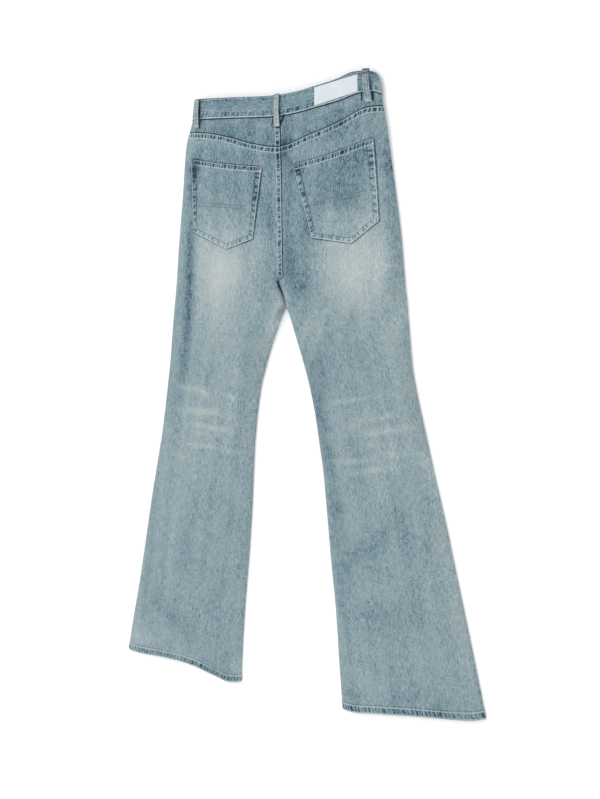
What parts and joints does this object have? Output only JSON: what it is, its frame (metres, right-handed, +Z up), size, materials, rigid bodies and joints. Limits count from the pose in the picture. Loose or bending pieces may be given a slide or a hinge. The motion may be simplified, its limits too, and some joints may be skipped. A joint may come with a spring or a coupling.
{
  "type": "bootcut jeans",
  "caption": "High-waisted bootcut jeans in washed denim, laid flat with the seat side up, with back pockets, belt loops, a blank waistband label and turned-up hems.",
  "frame": {"origin": "middle of the garment's length and width, on the surface it rests on", "axes": "+Y from the hems to the waist, +Z up from the surface through the seat, +X towards the wearer's right leg"},
  "size_m": [0.7426, 1.0875, 0.0273],
  "materials": {
    "denim": "light washed cotton twill, pale fades on the seat, thighs and knees",
    "label": "smooth pale grey coated leather, blank",
    "zip_tape": "woven cotton tape",
    "button": "aged metal"
  },
  "bodies": {
    "root": {"back_leg_left": "denim", "back_leg_right": "denim", "yoke_left": "denim", "yoke_right": "denim", "front_leg_left": "denim", "front_leg_right": "denim", "back_pocket_left": "denim", "back_pocket_right": "denim", "waistband": "denim", "loop_centre_back": "denim", "loop_side_left": "denim", "loop_side_right": "denim", "loop_front_left": "denim", "loop_front_right": "denim", "hem_left": "denim", "hem_right": "denim", "fly_shield": "denim", "label_patch": "label", "fly_zip": "zip_tape", "waist_button": "button"}
  },
  "joints": []
}
